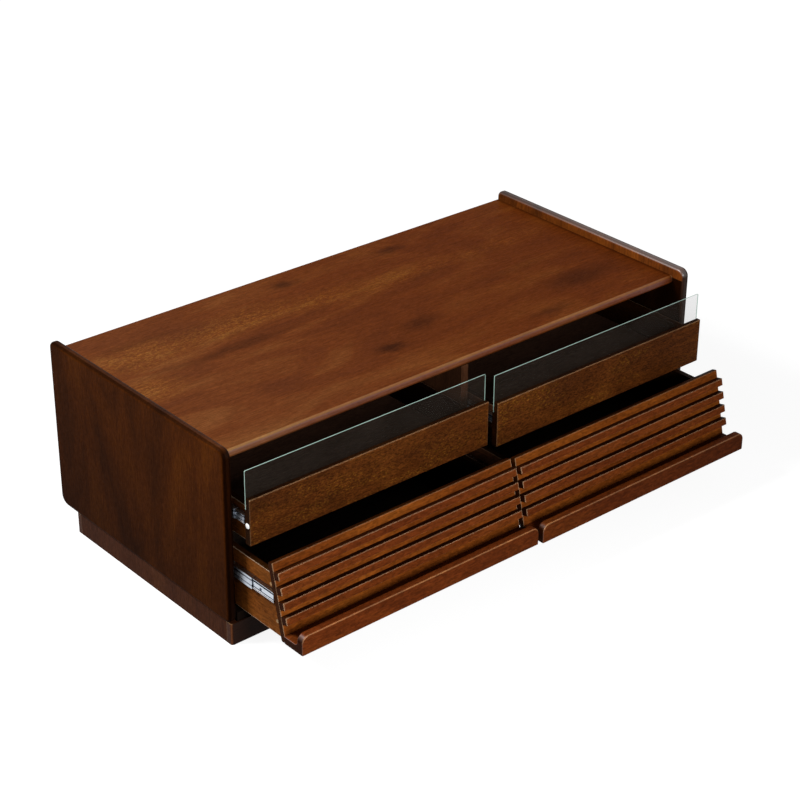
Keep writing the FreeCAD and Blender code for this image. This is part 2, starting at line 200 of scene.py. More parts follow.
def seen_directly(tree):
    """1 for rays that show the surround to the lens, also through glass or in metal."""
    path = add_node(tree, "ShaderNodeLightPath")
    seen = step(tree, "MAXIMUM", path.outputs["Is Camera Ray"], path.outputs["Is Transmission Ray"])
    return step(tree, "MAXIMUM", seen, path.outputs["Is Glossy Ray"])


def add_floor():
    """Large pale floor that is whiter away from the table."""
    mesh = bpy.data.meshes.new("floor")
    corners = [(-FLOOR_HALF, -FLOOR_HALF, 0), (FLOOR_HALF, -FLOOR_HALF, 0),
               (FLOOR_HALF, FLOOR_HALF, 0), (-FLOOR_HALF, FLOOR_HALF, 0)]
    mesh.from_pydata(corners, [], [(0, 1, 2, 3)])
    floor = bpy.data.objects.new("floor", mesh)
    bpy.context.scene.collection.objects.link(floor)
    material, tree, shader = new_finish("pale_floor")
    shader.inputs["Base Color"].default_value = (FLOOR_SHADE, FLOOR_SHADE, FLOOR_SHADE, 1)
    shader.inputs["Roughness"].default_value = 1.0
    shader.inputs["Specular IOR Level"].default_value = 0.0
    shader.inputs["Emission Color"].default_value = (1, 1, 1, 1)
    coords = add_node(tree, "ShaderNodeTexCoord")
    away = vector_step(tree, "LENGTH", coords.outputs["Object"], (0, 0, 0))
    glow = add_node(tree, "ShaderNodeMapRange", {
        "Value": away, "From Min": GLOW_FROM, "From Max": GLOW_TO, "To Min": GLOW_NEAR, "To Max": GLOW_FAR})
    strength = step(tree, "MULTIPLY", seen_directly(tree), glow.outputs[0])
    tree.links.new(strength, shader.inputs["Emission Strength"])
    mesh.materials.append(material)


def set_surround():
    """White surround for the lens, dim light for the object."""
    world = bpy.data.worlds.new("surround")
    bpy.context.scene.world = world
    world.use_nodes = True
    tree = world.node_tree
    sky = tree.nodes["Background"]
    sky.inputs["Color"].default_value = (1, 1, 1, 1)
    extra = step(tree, "MULTIPLY", seen_directly(tree), 1.0 - AMBIENT)
    tree.links.new(step(tree, "ADD", extra, AMBIENT), sky.inputs["Strength"])


add_floor()
set_surround()
bpy.context.scene.view_settings.view_transform = "Standard"
print("floor and surround")

# %% [markdown]
# Two soft lamps light the table. The front lamp stands low, so it lights the drawer fronts but not the
# tops of the slats, which stay dark. The high lamp stands behind the table on the left and lights the
# top; its light doesn't reach into the open drawers. Area lamps are used because a point or a sun
# would draw hard shadow lines under every slat.

# %% Lamps
FRONT_LAMP = {"place": (-0.66, -2.2, 0.9), "target": (0.0, -0.3, 0.2), "size": 0.6, "power": 41}
HIGH_LAMP = {"place": (-2.0, 0.9, 2.4), "target": (-0.1, 0.0, 0.3), "size": 0.8, "power": 112}


def add_lamp(name, place, target, size, power):
    """Square soft lamp that points at a target."""
    data = bpy.data.lights.new(name, "AREA")
    data.shape = "SQUARE"
    data.size = size
    data.energy = power
    lamp = bpy.data.objects.new(name, data)
    bpy.context.scene.collection.objects.link(lamp)
    lamp.location = place
    lamp.rotation_euler = (Vector(target) - Vector(place)).to_track_quat("-Z", "Y").to_euler()


add_lamp("front_lamp", **FRONT_LAMP)
add_lamp("high_lamp", **HIGH_LAMP)
print("two lamps")

# %% [markdown]
# Before the veneer, its two ingredients. Grain is noise that is stretched along the board, and each
# board takes it from another place, so that no two look alike. Edges are found by comparing the real
# surface with a rounded one: a pale painted highlight goes on the edges that look up, and rounded edges
# are polished brighter. Both could be painted on by hand, but then every board would need its own image.

# %% Grain and edges
# Width of the painted highlight on sharp edges that look up.
ARRIS_HIGHLIGHT_WIDTH = 0.0028
BOARD_SHIFT = (3.1, 5.7, 4.3)
FRONT = (0, -1, 0)


def board_space(tree):
    """Coordinates on the board, shifted by another amount for each board."""
    coords = add_node(tree, "ShaderNodeTexCoord")
    board = add_node(tree, "ShaderNodeObjectInfo")
    shift = vector_step(tree, "SCALE", BOARD_SHIFT, board.outputs["Random"])
    return vector_step(tree, "ADD", coords.outputs["Object"], shift)


def grain_noise(tree, space, grain, across, along, detail=3.0, rough=0.55, bend=0.0):
    """Noise with so many features per metre across and along the grain."""
    squeeze = tuple(along if axis == grain else across for axis in "XYZ")
    scaled = vector_step(tree, "MULTIPLY", space, squeeze)
    noise = add_node(tree, "ShaderNodeTexNoise", {
        "Vector": scaled, "Scale": 1.0, "Detail": detail, "Roughness": rough, "Distortion": bend})
    return noise.outputs[0]


def arris_highlight(tree, side, lowest):
    """Painted highlight: 1 on sharp edges towards a side, 0 on faces and on edges that look down more than
    the lowest.
    """
    soft = add_node(tree, "ShaderNodeBevel", {"Radius": ARRIS_HIGHLIGHT_WIDTH}, samples=4)
    face = add_node(tree, "ShaderNodeNewGeometry")
    turn = vector_step(tree, "DOT_PRODUCT", soft.outputs[0], face.outputs["True Normal"])
    upward = vector_step(tree, "DOT_PRODUCT", soft.outputs[0], (0, 0, 1))
    sideward = vector_step(tree, "DOT_PRODUCT", soft.outputs[0], side)
    upward_edge = ramp(tree, step(tree, "SUBTRACT", upward, lowest), (0.0, 0.0), (0.17, 1.0))
    at_side = ramp(tree, sideward, (0.15, 0.0), (0.40, 1.0))
    line = ramp(tree, turn, (0.89, 1.0), (0.975, 0.0))
    return step(tree, "MULTIPLY", line, step(tree, "MULTIPLY", upward_edge, at_side))


def off_axis(tree):
    """1 on rounded edges, 0 on the flat faces of a board."""
    face = add_node(tree, "ShaderNodeNewGeometry")
    size = vector_step(tree, "ABSOLUTE", face.outputs["Normal"], (0, 0, 0))
    parts = add_node(tree, "ShaderNodeSeparateXYZ", {"Vector": size})
    larger = step(tree, "MAXIMUM", parts.outputs[1], parts.outputs[2])
    largest = step(tree, "MAXIMUM", parts.outputs[0], larger)
    return ramp(tree, largest, (0.80, 1.0), (0.96, 0.0))


print("grain, rubbed arrises and rounded edges ready")

# %% [markdown]
# Stained veneer is the whole look of this table. Real veneer shows its figure at several scales:
# cloudy light and dark as wide as a hand, short flecks, thin fibre lines along the grain and small
# dark pores. A photographed texture could show them, but it would repeat from board to board. So
# one function builds them up from stretched noise, and each board chooses its tones and its figure.

# %% Stained veneer
CLOUDS = (7.0, 2.2)
FIBRES = (620.0, 22.0)
PORES = (1100.0, 75.0)
SOFTENED_ANGLE = math.radians(40)


def stained_wood(name, grain, tones, arris, fleck=0.5, figure=(210.0, 80.0), sheen=0.01, polish=0.03,
                 shade=None, gleam=off_axis, side=FRONT, lowest=-0.05):
    """Stained veneer: tones are its dark, middle and light colour, figure the number of flecks per metre
    across and along the grain, arris the colour of the painted highlight on edges towards a side."""
    material, tree, shader = new_finish(name)
    space = board_space(tree)
    dark, middle, light = tones
    cloud = grain_noise(tree, space, grain, *CLOUDS, 4.0, 0.6, 1.2)
    colour = ramp(tree, cloud, (0.30, dark), (0.50, middle), (0.70, light))
    mottle = grain_noise(tree, space, grain, *figure, 3.0, 0.6, 0.8)
    flecks = ramp(tree, mottle, (0.32, 0.45), (0.50, 1.0), (0.68, 1.65))
    colour = blend(tree, "MULTIPLY", fleck, colour, flecks)
    fibre = grain_noise(tree, space, grain, *FIBRES, 3.0, 0.6, 0.2)
    lines = ramp(tree, fibre, (0.32, 0.68), (0.52, 1.0), (0.72, 1.28))
    colour = blend(tree, "MULTIPLY", 0.7, colour, lines)
    pore = grain_noise(tree, space, grain, *PORES, 2.0, 0.5)
    pores = ramp(tree, pore, (0.30, 0.4), (0.40, 1.0))
    colour = blend(tree, "MULTIPLY", 0.6, colour, pores)
    if shade:
        colour = blend(tree, "MULTIPLY", 1.0, colour, shade(tree))
    # Painted highlight on the edges that look up.
    colour = blend(tree, "MIX", arris_highlight(tree, side, lowest), colour, (*arris, 1.0))
    tree.links.new(colour, shader.inputs["Base Color"])

    tree.links.new(ramp(tree, mottle, (0.3, 0.50), (0.7, 0.36)), shader.inputs["Roughness"])
    height = step(tree, "MULTIPLY", fibre, pores)
    bump = add_node(tree, "ShaderNodeBump", {"Height": height, "Strength": 0.2, "Distance": 0.0003})
    tree.links.new(bump.outputs[0], shader.inputs["Normal"])
    shine = add_node(tree, "ShaderNodeMapRange", {"Value": gleam(tree), "To Min": sheen, "To Max": polish})
    tree.links.new(shine.outputs[0], shader.inputs["Specular IOR Level"])
    return material


def soften(width, *names):
    """Take the sharpness off the edges of sawn boards."""
    for name in names:
        bevel = nodes[name].modifiers.new("softened", "BEVEL")
        bevel.width = width
        bevel.segments = 2
        bevel.limit_method = "ANGLE"
        bevel.angle_limit = SOFTENED_ANGLE


print("stained veneer ready")

# %% [markdown]
# The top is the largest piece of veneer in view, with a few dark smudges where small knots lie, one
# long dark streak and patches of golden flecks. Marks like these could be painted on an image; here
# each is a soft spot on the board: its centre, its two half sizes and its strength. The board's own
# coordinates are bent a little so that no spot is a plain oval. A painted shadow darkens the gaps at the
# joints with the side panels, and a painted sheen, pale at the left end, gives way to a warmer tone at
# the right.

# %% Marks of the table top
KNOTS = (
    (-0.082, -0.131, 0.034, 0.018, 0.60),
    (0.032, -0.083, 0.050, 0.022, 0.40),
    (-0.069, 0.228, 0.030, 0.016, 0.50),
    (0.210, 0.224, 0.034, 0.016, 0.45),
    (-0.330, 0.063, 0.150, 0.014, 0.34),
    (0.420, -0.129, 0.080, 0.034, 0.42),
    (0.272, -0.212, 0.060, 0.014, 0.35),
    (0.330, -0.020, 0.120, 0.016, 0.16),
    (-0.470, 0.200, 0.110, 0.014, 0.16),
)
GOLDEN_PATCHES = (
    (-0.470, 0.147, 0.120, 0.050, 0.9),
    (-0.267, 0.148, 0.170, 0.042, 1.0),
    (-0.058, 0.124, 0.110, 0.034, 0.7),
    (-0.537, 0.016, 0.060, 0.044, 0.8),
    (0.154, 0.105, 0.160, 0.030, 0.6),
    (0.403, 0.098, 0.120, 0.028, 0.5),
)
GOLD = (1.75, 2.30, 1.70)
# Painted shadow in the gaps at the ends of the top.
END_GAP_SHADOW = (0.571, 0.579)
# Painted sheen along the top, pale at the left end and warmer at the right.
SHEEN_ALONG_TOP = ((0.1, (1.0, 1.20, 1.75)), (0.5, (1.0, 1.0, 1.0)), (0.9, (1.12, 1.04, 0.82)))
# Painted highlight on the upper turn of the rounded front.
NOSE_HIGHLIGHT = (1.35, 1.60, 1.50)


def soft_spot(tree, bent, x, y, half_x, half_y):
    """1 in the middle of a spot on the board, fading to 0."""
    offset = vector_step(tree, "SUBTRACT", bent, (x, y, 0))
    size = vector_step(tree, "MULTIPLY", offset, (1 / half_x, 1 / half_y, 0))
    spot = add_node(tree, "ShaderNodeMapRange", {
        "Value": vector_step(tree, "LENGTH", size, (0, 0, 0)),
        "From Min": 0.1, "From Max": 1.6, "To Min": 1.0, "To Max": 0.0}, interpolation_type="SMOOTHSTEP")
    return spot.outputs[0]


def nose_turn(tree):
    """How the rounded front is turned, 1 up and 0 down, and 1 where the surface looks to the front."""
    face = add_node(tree, "ShaderNodeNewGeometry")
    upward = vector_step(tree, "DOT_PRODUCT", face.outputs["Normal"], (0, 0, 1))
    forward = vector_step(tree, "DOT_PRODUCT", face.outputs["Normal"], FRONT)
    turned = step(tree, "ADD", step(tree, "MULTIPLY", upward, 0.5), 0.5)
    return turned, step(tree, "GREATER_THAN", forward, 0.05)


def top_marks(tree):
    """Knots and golden flecks on the top, painted highlight along its rounded front, painted shade under
    that, painted shadow at its ends and painted sheen along it.
    """
    coords = add_node(tree, "ShaderNodeTexCoord")
    ripple = add_node(tree, "ShaderNodeTexNoise", {
        "Vector": coords.outputs["Object"], "Scale": 26.0, "Detail": 3.0})
    centred = vector_step(tree, "SUBTRACT", ripple.outputs["Color"], (0.5, 0.5, 0.5))
    bent = vector_step(tree, "ADD", coords.outputs["Object"], vector_step(tree, "SCALE", centred, 0.04))
    turned, front = nose_turn(tree)
    # Painted shade where the rounded front turns down.
    shade = ramp(tree, turned, (0.15, 0.5), (0.45, 1.0))
    for x, y, half_x, half_y, depth in KNOTS:
        spot = step(tree, "MULTIPLY", soft_spot(tree, bent, x, y, half_x, half_y), depth)
        shade = step(tree, "MULTIPLY", shade, step(tree, "SUBTRACT", 1.0, spot))
    golden = 0.0
    for x, y, half_x, half_y, strength in GOLDEN_PATCHES:
        spot = step(tree, "MULTIPLY", soft_spot(tree, bent, x, y, half_x, half_y), strength)
        golden = step(tree, "MAXIMUM", golden, spot)
    speck = grain_noise(tree, coords.outputs["Object"], "X", 330.0, 150.0, 3.0, 0.6, 0.6)
    golden = step(tree, "MULTIPLY", golden, ramp(tree, speck, (0.46, 0.08), (0.62, 1.0)))
    figure_and_highlight = blend(tree, "MIX", golden, (1, 1, 1, 1), (*GOLD, 1))
    # Painted highlight on the upper turn of the rounded front.
    upper_turn = ramp(tree, turned, (0.70, 0.0), (0.80, 1.0), (0.95, 1.0), (0.99, 0.0))
    figure_and_highlight = blend(tree, "MULTIPLY", step(tree, "MULTIPLY", front, upper_turn), figure_and_highlight, (*NOSE_HIGHLIGHT, 1))
    place = add_node(tree, "ShaderNodeSeparateXYZ", {"Vector": coords.outputs["Object"]})
    # Painted shadow in the gaps at the joints with the side panels.
    gap_shadow = add_node(tree, "ShaderNodeMapRange", {
        "Value": step(tree, "ABSOLUTE", place.outputs[0]),
        "From Min": END_GAP_SHADOW[0], "From Max": END_GAP_SHADOW[1], "To Min": 1.0, "To Max": 0.5})
    # Painted sheen that changes along the top.
    along = add_node(tree, "ShaderNodeMapRange", {
        "Value": place.outputs[0], "From Min": -END_GAP_SHADOW[1], "From Max": END_GAP_SHADOW[1]})
    figure_and_highlight = blend(tree, "MULTIPLY", 1.0, figure_and_highlight, ramp(tree, along.outputs[0], *SHEEN_ALONG_TOP))
    return blend(tree, "MULTIPLY", 1.0, figure_and_highlight, step(tree, "MULTIPLY", shade, gap_shadow.outputs[0]))


print(len(KNOTS), "knots and", len(GOLDEN_PATCHES), "golden patches ready")

# %% [markdown]
# The rounded front of the top is lacquered and shows the room in bands: gold on its upper turn, cooler
# in the middle, plain brown below. A painted line could stand for this; here the turn of the surface
# sets the strength and the tint of the reflection, so that the bands follow the round from every side.
# The gold band also has a painted highlight in its colour, and the lower turn has painted shade.

# %% Table top
WARM_LACQUER = (1.0, 0.85, 0.45)
COOL_LACQUER = (0.90, 0.86, 1.0)
TOP_TONES = ((0.080, 0.018, 0.004), (0.105, 0.024, 0.0045), (0.140, 0.040, 0.008))


def nose_gleam(tree):
    """1 on the upper half of the rounded front of the top, 0 on its flat face and its other edges."""
    turned, front = nose_turn(tree)
    gleam = ramp(tree, turned, (0.35, 0.05), (0.60, 0.62), (0.80, 0.85), (0.93, 1.0), (0.985, 0.0))
    return step(tree, "MULTIPLY", front, gleam)


def tint_lacquer(material):
    """Warm reflections on the upper turn of the rounded front, cool ones below."""
    tree = material.node_tree
    tint = ramp(tree, nose_turn(tree)[0], (0.66, COOL_LACQUER), (0.80, WARM_LACQUER))
    tree.links.new(tint, tree.nodes["Principled BSDF"].inputs["Specular Tint"])


top_wood = stained_wood(
    "top_veneer", "X", TOP_TONES, (0.24, 0.13, 0.06), fleck=0.28, sheen=0.006, polish=0.85,
    shade=top_marks, gleam=nose_gleam)
tint_lacquer(top_wood)
dress(top_wood, "top_panel")

# %% [markdown]
# The side panels stand with the grain upright. Their rounded edges are stained nearly black, which frames
# the table, and the right panel's edges are painted lighter than the left's as painted light. The narrow
# flat along the middle of an edge has a painted highlight, and faces that look to the front are darker.
# The inside of a panel has painted shade below the top, like the rest of the inside of the case, and
# painted light on the strip above it; both panels have painted shade towards the foot and the back. The
# edge of the right panel is polished: it catches the light of the room along its whole length. Each part
# of a panel could be given its own material by hand; here the direction that a surface faces decides its
# stain and its painted light.

# %% Side panels
TOP_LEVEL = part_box("top_panel")[1][2]
JOINT_DROP = 0.004
# Painted light on the inner strip above the top, painted shade on the inner face below it.
INNER_STRIP = 2.1
INNER_FACE = 0.16
# Painted shade towards the back and the foot, between these places.
PANEL_FRONT = -0.28
PANEL_BACK = 0.28
PANEL_FOOT = 0.05
PANEL_HEAD = 0.38


def panel_sides(tree):
    """How much the surface faces away from the table, its facing and its place."""
    face = add_node(tree, "ShaderNodeNewGeometry")
    coords = add_node(tree, "ShaderNodeTexCoord")
    facing = add_node(tree, "ShaderNodeSeparateXYZ", {"Vector": face.outputs["Normal"]})
    place = add_node(tree, "ShaderNodeSeparateXYZ", {"Vector": coords.outputs["Object"]})
    outward = step(tree, "MULTIPLY", facing.outputs[0], step(tree, "SIGN", place.outputs[0]))
    return outward, facing, place


def panel_shade(edge_tone):
    """Shade of a side panel: stained dark on the rounded edges with a painted highlight on the flat,
    painted shade inside below the top and painted light above it, and painted shade towards the foot and
    the back.
    """
    def shade(tree):
        """Stain, painted shade and painted light by facing and place."""
        outward, facing, place = panel_sides(tree)
        flatness = step(tree, "ABSOLUTE", outward)
        # Rounded edges stained darker; the flat along an edge is lighter as a painted highlight.
        edge = ramp(tree, flatness, (0.04, 0.8), (0.20, edge_tone), (0.72, edge_tone), (0.97, 1.0))
        forward = step(tree, "MULTIPLY", facing.outputs[1], -1.0)
        edge = blend(tree, "MULTIPLY", 1.0, edge, ramp(tree, forward, (0.3, 1.0), (0.8, 0.28)))
        # Painted shade on the inner face below the top, painted light on the strip above it.
        below = step(tree, "LESS_THAN", place.outputs[2], TOP_LEVEL - JOINT_DROP)
        strip = ramp(tree, below, (0.0, INNER_STRIP), (1.0, INNER_FACE))
        inside = blend(tree, "MIX", step(tree, "LESS_THAN", outward, -0.8), (1, 1, 1, 1), strip)
        # Painted shade towards the back and the foot.
        to_back = add_node(tree, "ShaderNodeMapRange", {
            "Value": place.outputs[1], "From Min": PANEL_FRONT, "From Max": PANEL_BACK,
            "To Min": 1.0, "To Max": 0.64})
        to_foot = add_node(tree, "ShaderNodeMapRange", {
            "Value": place.outputs[2], "From Min": PANEL_FOOT, "From Max": PANEL_HEAD,
            "To Min": 0.62, "To Max": 1.0})
        fade = step(tree, "MULTIPLY", to_back.outputs[0], to_foot.outputs[0])
        return step(tree, "MULTIPLY", fade, blend(tree, "MULTIPLY", 1.0, edge, inside))
    return shade


def panel_edge(tree):
    """1 on the rounded edges that look up or into the table, little on the other rounded edges."""
    outward, facing, place = panel_sides(tree)
    rounded = ramp(tree, step(tree, "ABSOLUTE", outward), (0.90, 1.0), (0.99, 0.0))
    looks_in = ramp(tree, step(tree, "ADD", outward, 0.5), (0.48, 1.0), (0.62, 0.05))
    looks_up = ramp(tree, facing.outputs[2], (0.05, 0.12), (0.35, 1.0))
    to_back = add_node(tree, "ShaderNodeMapRange", {
        "Value": place.outputs[1], "From Min": PANEL_FRONT, "From Max": PANEL_BACK,
        "To Min": 1.0, "To Max": 0.35})
    gleam = step(tree, "MULTIPLY", looks_in, step(tree, "MULTIPLY", looks_up, to_back.outputs[0]))
    return step(tree, "MULTIPLY", rounded, gleam)


PANEL_TONES = ((0.030, 0.0080, 0.0018), (0.056, 0.0140, 0.0022), (0.086, 0.023, 0.0028))
PANEL_POLISH = {"left": 0.03, "right": 0.85}
# The right panel's edges are painted lighter than the left's, as painted light.
EDGE_TONES = {"left": 0.42, "right": 0.85}
for side in SIDES:
    panel_wood = stained_wood(
        f"{side}_panel_veneer", "Z", PANEL_TONES, (0.10, 0.05, 0.035), fleck=0.4, sheen=0.004,
        polish=PANEL_POLISH[side], shade=panel_shade(EDGE_TONES[side]), gleam=panel_edge)
    dress(panel_wood, f"side_panel_{side}")
print("two side panels")

# %% [markdown]
# The plinth is a frame of rails under the case. Its front lies in the shade of the drawers and has
# that shade painted into its colour, with painted highlights on its corners and edges. The boards
# inside the case are nearly black, partly as painted shade, so that the case looks deep behind the
# glass, and the floor of the case is black as painted shade. Plain dark paint would do for them, but
# the same veneer keeps their grain when someone looks in from close by. Sawn edges get a very small
# bevel that catches light.

# %% Plinth and inner boards
PLINTH_TONES = ((0.030, 0.009, 0.004), (0.044, 0.013, 0.005), (0.058, 0.018, 0.006))
# Painted highlight on the edges of the plinth.
PLINTH_ARRIS = (0.26, 0.15, 0.07)
# Dark inner boards, partly painted shade.
INNER_TONES = ((0.034, 0.016, 0.010), (0.048, 0.022, 0.014), (0.066, 0.030, 0.018))
DIVIDER_TONES = ((0.045, 0.018, 0.009), (0.062, 0.024, 0.011), (0.080, 0.032, 0.014))
# Near black as painted shade inside the case.
CASE_FLOOR_SHADE_TONES = ((0.005, 0.003, 0.002), (0.007, 0.004, 0.003), (0.010, 0.006, 0.004))
CASE_EDGE = 0.0012


def kick_shade_and_highlight(tree):
    """Painted shade where the surface faces the front, in the shade under the drawers, and a painted
    highlight on the corners.
    """
    face = add_node(tree, "ShaderNodeNewGeometry")
    forward = vector_step(tree, "DOT_PRODUCT", face.outputs["Normal"], FRONT)
    endward = step(tree, "ABSOLUTE", vector_step(tree, "DOT_PRODUCT", face.outputs["Normal"], (1, 0, 0)))
    corner = ramp(tree, step(tree, "MULTIPLY", forward, endward), (0.25, 1.0), (0.45, (4.5, 5.0, 5.0)))
    return blend(tree, "MULTIPLY", 1.0, corner, ramp(tree, forward, (0.2, 1.0), (0.9, 0.30)))


plinth_wood = stained_wood(
    "plinth_veneer", "X", PLINTH_TONES, PLINTH_ARRIS, fleck=0.3, sheen=0.04, shade=kick_shade_and_highlight,
    side=(-1, 0, 0))
plinth_side_wood = stained_wood("plinth_side_veneer", "Z", PLINTH_TONES, PLINTH_ARRIS, fleck=0.4)
back_wood = stained_wood("back_veneer", "X", INNER_TONES, (0.06, 0.03, 0.02), fleck=0.3)
case_floor_wood = stained_wood(
    "case_floor_veneer", "X", CASE_FLOOR_SHADE_TONES, (0.012, 0.007, 0.005), fleck=0.3, sheen=0.004)
divider_wood = stained_wood(
    "divider_veneer", "Z", DIVIDER_TONES, (0.09, 0.035, 0.016), fleck=0.3, sheen=0.003)
dress(plinth_wood, "plinth_front", "plinth_back")
dress(plinth_side_wood, "plinth_left", "plinth_right", "plinth_centre")
dress(back_wood, "back_panel")
dress(case_floor_wood, "bottom_panel")
dress(divider_wood, "centre_divider")
soften(CASE_EDGE, "bottom_panel", "centre_divider", "back_panel")
soften(CASE_EDGE, "plinth_left", "plinth_right", "plinth_centre")
print("plinth and inner boards dressed")

# %% [markdown]
# The drawer fronts are the brightest wood on the table: a warmer, more orange veneer that is full
# of golden flecks on the upper fronts, and redder straight-grained wood for the slats and handles.
# All of them have painted shade on the faces that don't look to the front, and a painted highlight
# on the edges that look up; the handles also have painted shade that deepens from left to right and a
# painted highlight along the lip. The flecks could be scattered as small pieces; a finer noise inside
# the patches of a wide one costs less and follows the grain.

# %% Drawer fronts
FRONT_GOLD = (1.9, 2.5, 1.6)
# Painted highlight along the front edge of a lip.
LIP_HIGHLIGHT = (2.3, 4.2, 6.5)
HANDLE_ENDS = (-0.55, 0.55)
# Painted shade that deepens from left to right along the handles.
HANDLE_SHADE_FALLOFF = (1.08, 0.72)
FRONT_TONES = ((0.028, 0.0085, 0.0026), (0.065, 0.0178, 0.0034), (0.116, 0.0355, 0.006))
BOARD_TONES = ((0.105, 0.024, 0.004), (0.145, 0.036, 0.005), (0.190, 0.052, 0.007))
SLAT_TONES = ((0.078, 0.016, 0.004), (0.110, 0.024, 0.005), (0.145, 0.036, 0.007))
HANDLE_TONES = ((0.070, 0.014, 0.003), (0.096, 0.020, 0.004), (0.125, 0.030, 0.005))
SLATS = range(1, 5)


def shade_off_front(tree):
    """Painted shade where the surface doesn't face the front."""
    face = add_node(tree, "ShaderNodeNewGeometry")
    forward = vector_step(tree, "DOT_PRODUCT", face.outputs["Normal"], FRONT)
    return ramp(tree, forward, (0.30, 0.20), (0.70, 1.0))


def front_figure(tree):
    """Golden flecks in wide patches on the face of an upper front, and painted shade on the faces round it.
    """
    space = board_space(tree)
    wide = grain_noise(tree, space, "X", 24.0, 8.0, 2.0, 0.5, 0.6)
    fine = grain_noise(tree, space, "X", 400.0, 180.0, 2.0, 0.6, 0.4)
    patch = ramp(tree, wide, (0.46, 0.0), (0.60, 1.0))
    speck = ramp(tree, fine, (0.53, 0.0), (0.63, 1.0))
    golden = blend(tree, "MIX", step(tree, "MULTIPLY", patch, speck), (1, 1, 1, 1), (*FRONT_GOLD, 1))
    return blend(tree, "MULTIPLY", 1.0, golden, shade_off_front(tree))


def handle_shade_and_highlight(tree):
    """Painted shade on the ends of a handle, a painted highlight along the front edge of its lip, and
    painted shade that deepens from left to right.
    """
    face = add_node(tree, "ShaderNodeNewGeometry")
    endward = step(tree, "ABSOLUTE", vector_step(tree, "DOT_PRODUCT", face.outputs["Normal"], (1, 0, 0)))
    ends = ramp(tree, endward, (0.55, 1.0), (0.90, 0.18))
    forward = vector_step(tree, "DOT_PRODUCT", face.outputs["Normal"], FRONT)
    upward = vector_step(tree, "DOT_PRODUCT", face.outputs["Normal"], (0, 0, 1))
    lip_edge = ramp(tree, upward, (0.12, 0.0), (0.26, 1.0), (0.86, 1.0), (0.96, 0.0))
    lip_edge = step(tree, "MULTIPLY", lip_edge, step(tree, "GREATER_THAN", forward, 0.2))
    coords = add_node(tree, "ShaderNodeTexCoord")
    place = add_node(tree, "ShaderNodeSeparateXYZ", {"Vector": coords.outputs["Object"]})
    along = add_node(tree, "ShaderNodeMapRange", {
        "Value": place.outputs[0], "From Min": HANDLE_ENDS[0], "From Max": HANDLE_ENDS[1],
        "To Min": HANDLE_SHADE_FALLOFF[0], "To Max": HANDLE_SHADE_FALLOFF[1]})
    ends = blend(tree, "MULTIPLY", 1.0, ends, along.outputs[0])
    return blend(tree, "MULTIPLY", 1.0, ends, ramp(tree, lip_edge, (0.0, 1.0), (1.0, LIP_HIGHLIGHT)))


front_wood = stained_wood(
    "upper_front_veneer", "X", FRONT_TONES, (0.42, 0.24, 0.12), fleck=1.0, figure=(380.0, 150.0),
    shade=front_figure)
board_wood = stained_wood(
    "leaning_board_wood", "X", BOARD_TONES, (0.40, 0.24, 0.13), fleck=0.6, shade=shade_off_front)
slat_wood = stained_wood(
    "slat_wood", "X", SLAT_TONES, (0.52, 0.34, 0.20), fleck=0.6, shade=shade_off_front)
handle_wood = stained_wood(
    "handle_wood", "X", HANDLE_TONES, (0.30, 0.15, 0.08), fleck=0.6, polish=0.3, shade=handle_shade_and_highlight)
for side in SIDES:
    dress(front_wood, f"upper_{side}_front")
    dress(board_wood, f"lower_{side}_front")
    dress(slat_wood, *[f"lower_{side}_slat_{count}" for count in SLATS])
    dress(handle_wood, f"lower_{side}_handle")
print("drawer fronts dressed")

# %% [markdown]
# Drawer boxes are plain boards. The outer sides, which show when a drawer is open, have a light orange
# stain, with a painted highlight on their outer edges that is brighter at the left ends. The sides next
# to the divider are dark as painted shade. Inside, all boxes have painted shade, so an open drawer looks
# deep: the backs and bottoms are dark, and the side boards are dark on their top edge and on the face
# that looks into the box. The shade could be a thin dark board of its own; painted on one face, it keeps
# the box as it is built.

# %% Drawer boxes
BOX_TONES = ((0.095, 0.026, 0.004), (0.145, 0.042, 0.007), (0.205, 0.066, 0.012))
# Painted highlight on the outer edges of the side boards, brighter at the left ends.
BOX_ARRIS = {"left": (0.55, 0.40, 0.28), "right": (0.26, 0.16, 0.10)}
# Side boards next to the divider, dark as painted shade.
DARK_BOX_TONES = ((0.030, 0.011, 0.005), (0.045, 0.016, 0.007), (0.062, 0.022, 0.009))
DARK_ARRIS = (0.14, 0.08, 0.05)
# Painted shade inside the boxes, lighter in the upper ones.
BOX_INSIDE_SHADE_TONES = {
    "upper": ((0.055, 0.026, 0.016), (0.075, 0.036, 0.022), (0.095, 0.045, 0.028)),
    "lower": ((0.045, 0.030, 0.022), (0.062, 0.040, 0.030), (0.080, 0.050, 0.036)),
}
BOX_INSIDE_SHADE_ARRIS = (0.10, 0.06, 0.04)
BOX_INSIDE_SHADE = 0.08
TOP_EDGE = 0.14
BOX_EDGE = 0.0009
SIDE_BOARDS = (("left", 1), ("right", -1))
PLAIN_BOARDS = ("side_left", "side_right", "back", "bottom")


def shaded_towards(direction):
    """Painted shade on the top edge of a side board and on the face that looks into the box."""
    def shade(tree):
        """Painted shade on one face and the top edge."""
        face = add_node(tree, "ShaderNodeNewGeometry")
        inward = vector_step(tree, "DOT_PRODUCT", face.outputs["Normal"], (direction, 0, 0))
        upward = vector_step(tree, "DOT_PRODUCT", face.outputs["Normal"], (0, 0, 1))
        inner_face = ramp(tree, inward, (0.5, 1.0), (0.9, BOX_INSIDE_SHADE))
        return blend(tree, "MULTIPLY", 1.0, inner_face, ramp(tree, upward, (0.5, 1.0), (0.9, TOP_EDGE)))
    return shade


